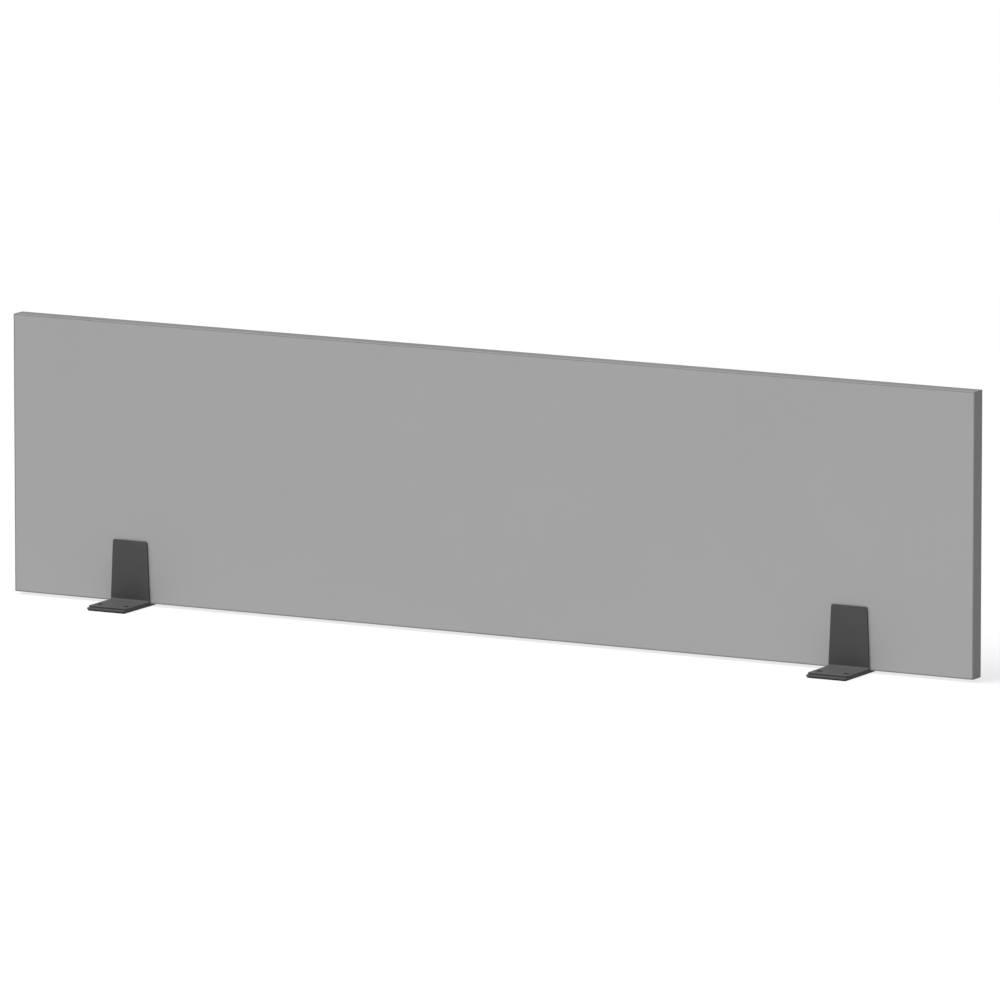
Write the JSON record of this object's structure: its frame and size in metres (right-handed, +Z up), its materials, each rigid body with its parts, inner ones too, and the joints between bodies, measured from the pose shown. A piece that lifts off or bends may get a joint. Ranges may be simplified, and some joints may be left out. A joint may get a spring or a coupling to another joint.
{
  "type": "desk privacy panel",
  "caption": "Low rectangular desk privacy panel: an edge-banded board held upright by a pair of bolted sheet-steel bracket feet that screw down to a desk top.",
  "frame": {"origin": "on the desk top, under the middle of the whole object's length and depth", "axes": "+X along the board's length, towards its right end seen from the side the feet reach out of; -Y out of that side; +Z up"},
  "size_m": [1.6, 0.1071, 0.4245],
  "materials": {
    "particle_board": "raw particle board, hidden under the faces and edge bands",
    "melamine": "mid-grey melamine face with a fine pearl grain",
    "edging": "mid-grey ABS edge band, fine satin grain",
    "bracket_coating": "fine-textured dark-grey powder coat on sheet steel",
    "foot_pad": "matt black rubber sheet",
    "zinc_hardware": "bright zinc plating"
  },
  "bodies": {
    "root": {"panel_core": "particle_board", "front_laminate": "melamine", "rear_laminate": "melamine", "top_edge_band": "edging", "bottom_edge_band": "edging", "left_edge_band": "edging", "right_edge_band": "edging", "left_front_angle": "bracket_coating", "left_rear_angle": "bracket_coating", "left_foot_pad": "foot_pad", "left_lower_weld_stud": "zinc_hardware", "left_lower_screw": "zinc_hardware", "left_lower_washer": "zinc_hardware", "left_upper_weld_stud": "zinc_hardware", "left_upper_screw": "zinc_hardware", "left_upper_washer": "zinc_hardware", "right_front_angle": "bracket_coating", "right_rear_angle": "bracket_coating", "right_foot_pad": "foot_pad", "right_lower_weld_stud": "zinc_hardware", "right_lower_screw": "zinc_hardware", "right_lower_washer": "zinc_hardware", "right_upper_weld_stud": "zinc_hardware", "right_upper_screw": "zinc_hardware", "right_upper_washer": "zinc_hardware"}
  },
  "joints": []
}
